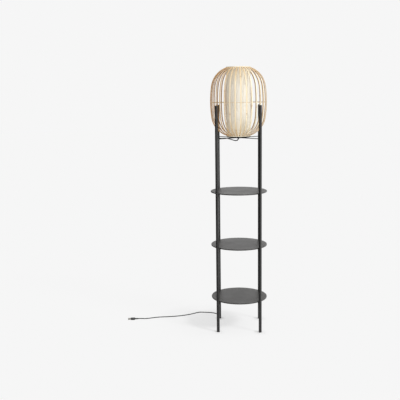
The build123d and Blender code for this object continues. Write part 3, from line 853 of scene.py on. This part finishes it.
hoops = {
    "steps": 192, "crown": 0.0002, "edge": 0.0004,
    "replaced": {              # the node each stands for, and its thickness
        "bottom_hoop": ("lantern_bottom_hoop", 0.0025),
        "top_hoop": ("lantern_top_hoop", 0.0025),
        "belly_hoop": ("lantern_belly_hoop", 0.0015),
    },
}


def makeHoops(settings):
    # a level ring with its section's width upright and its outer face outwards
    turn = np.arange(settings["steps"]) * 2 * np.pi / settings["steps"]
    radial = fanOut(turn)[0][None]
    up = np.broadcast_to(upright, radial.shape)
    for name, (node, thickness) in settings["replaced"].items():
        low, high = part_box(node)
        middle = upright * (low[2] + high[2]) / 2
        section, skin = stripSection(high[2] - low[2], thickness, settings["crown"],
                                     settings["edge"])
        piece = sweptStrips(name, radial * (high[0] - low[0]) / 2 + middle, up, radial,
                            section, skin, hoopBamboo, closed=True)
        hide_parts(node)


makeSplints(splint)
makeDrumStrips(drumStrip)
makeHoops(hoops)


print("studio")

white = (1, 1, 1, 1)

studio = {
    "background": 0.922,              # the photograph's paper white, linear
    "ambient": 0.46,
    "ambientSides": (0.66, 1.34),     # left and right of the soft surroundings
    "shineSides": (0.08, 1.9),        # left and right of what shows in reflections
    "shineTurn": 0.2,                 # how far the bright side comes round the back
    "shineReach": (-0.6, 0.8),        # where the shine starts to rise, and is full
    "lamps": {
        # strength, elevation, azimuth from +x towards the front, and width, in degrees
        "key": (1.73, 41.0, -34.0, 12.0),
        "fill": (1.26, 16.0, -100.0, 50.0),
    },
}


def lightWorld(settings):
    # soft light and reflections rise from left to right, and the camera sees paper white
    world = bpy.data.worlds.new("studio")
    scene.world = world
    world.use_nodes = True
    tree = world.node_tree
    back = tree.nodes["Background"]
    back.inputs["Color"].default_value = white
    path = addNode(tree, "ShaderNodeLightPath").outputs
    aim = split(tree, addNode(tree, "ShaderNodeTexCoord").outputs["Generated"])
    paper = settings["background"]
    glow = spread(tree, aim["X"], -1, 1,
                  *[settings["ambient"] * side for side in settings["ambientSides"]])
    shine = spread(tree, plusShare(tree, aim["X"], aim["Y"], settings["shineTurn"]),
                   *settings["shineReach"], *[paper * side for side in settings["shineSides"]])
    lit = spread(tree, path["Is Glossy Ray"], 0, 1, glow, shine)
    clear = maths(tree, "MAXIMUM", path["Is Camera Ray"], path["Is Transmission Ray"])
    tree.links.new(spread(tree, clear, 0, 1, lit, paper), back.inputs["Strength"])


def hangLamps(lamps):
    for name, (strength, elevation, azimuth, width) in lamps.items():
        light = bpy.data.lights.new(name, "SUN")
        light.energy = strength
        light.angle = math.radians(width)
        lamp = bpy.data.objects.new(name, light)
        sceneObjects.link(lamp)
        lamp.rotation_euler = (0, math.radians(90 - elevation), math.radians(azimuth))


floorPaper = {
    "colour": 0.97, "size": 40.0,
    "glow": (0.68, 0.97),             # share of its own paper white, by the feet and further out
    "shadowPlace": (-0.16, 0.06, 0.0),
    "shadowReach": (0.10, 0.34),
    "footGlow": (0.32, 1.0),          # its upper limit close to a foot, and away from it
    "footReach": (0.012, 0.050),
    "feet": posts,
}


def layFloor(settings, paper, shineSides):
    # one flat square; the camera sees its shadow most near the feet, and reflections see
    # the same rise from left to right as in the surroundings
    half, shade = settings["size"] / 2, settings["colour"]
    mesh = bpy.data.meshes.new("floor")
    mesh.from_pydata([(-half, -half, 0), (half, -half, 0), (half, half, 0), (-half, half, 0)],
                     [], [(0, 1, 2, 3)])
    floor = bpy.data.objects.new("floor", mesh)
    sceneObjects.link(floor)
    finish, tree, shader = newFinish("floor paper", {
        "Roughness": 1.0, "Specular IOR Level": 0.0, "Base Color": (shade, shade, shade, 1)})
    place = objectPlace(tree)
    rays = addNode(tree, "ShaderNodeLightPath").outputs
    mirrored = spread(tree, split(tree, place)["X"], -1, 1,
                      *[paper * side for side in shineSides])
    own = addNode(tree, "ShaderNodeEmission", None, {
        "Color": white,
        "Strength": spread(tree, rays["Is Glossy Ray"], 0, 1, paper, mirrored)})

    def distance(spot):
        return addNode(tree, "ShaderNodeVectorMath", {"operation": "DISTANCE"}, {
            0: place, 1: spot}).outputs["Value"]

    glowing = spread(tree, distance(settings["shadowPlace"]), *settings["shadowReach"],
                     *settings["glow"])
    for foot in settings["feet"]:
        low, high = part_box(foot)
        middle = ((low[0] + high[0]) / 2, (low[1] + high[1]) / 2, 0.0)
        glowing = maths(tree, "MINIMUM", glowing, spread(
            tree, distance(middle), *settings["footReach"], *settings["footGlow"]))
    seen = maths(tree, "MULTIPLY", rays["Is Camera Ray"], glowing)
    mixed = addNode(tree, "ShaderNodeMixShader", None, {
        0: maths(tree, "MAXIMUM", seen, rays["Is Glossy Ray"]),
        1: shader.outputs[0], 2: own.outputs[0]})
    tree.links.new(mixed.outputs[0], tree.nodes["Material Output"].inputs[0])
    mesh.materials.append(finish)


lightWorld(studio)
hangLamps(studio["lamps"])
layFloor(floorPaper, studio["background"], studio["shineSides"])

scene.view_settings.view_transform = "Standard"
print("finish")
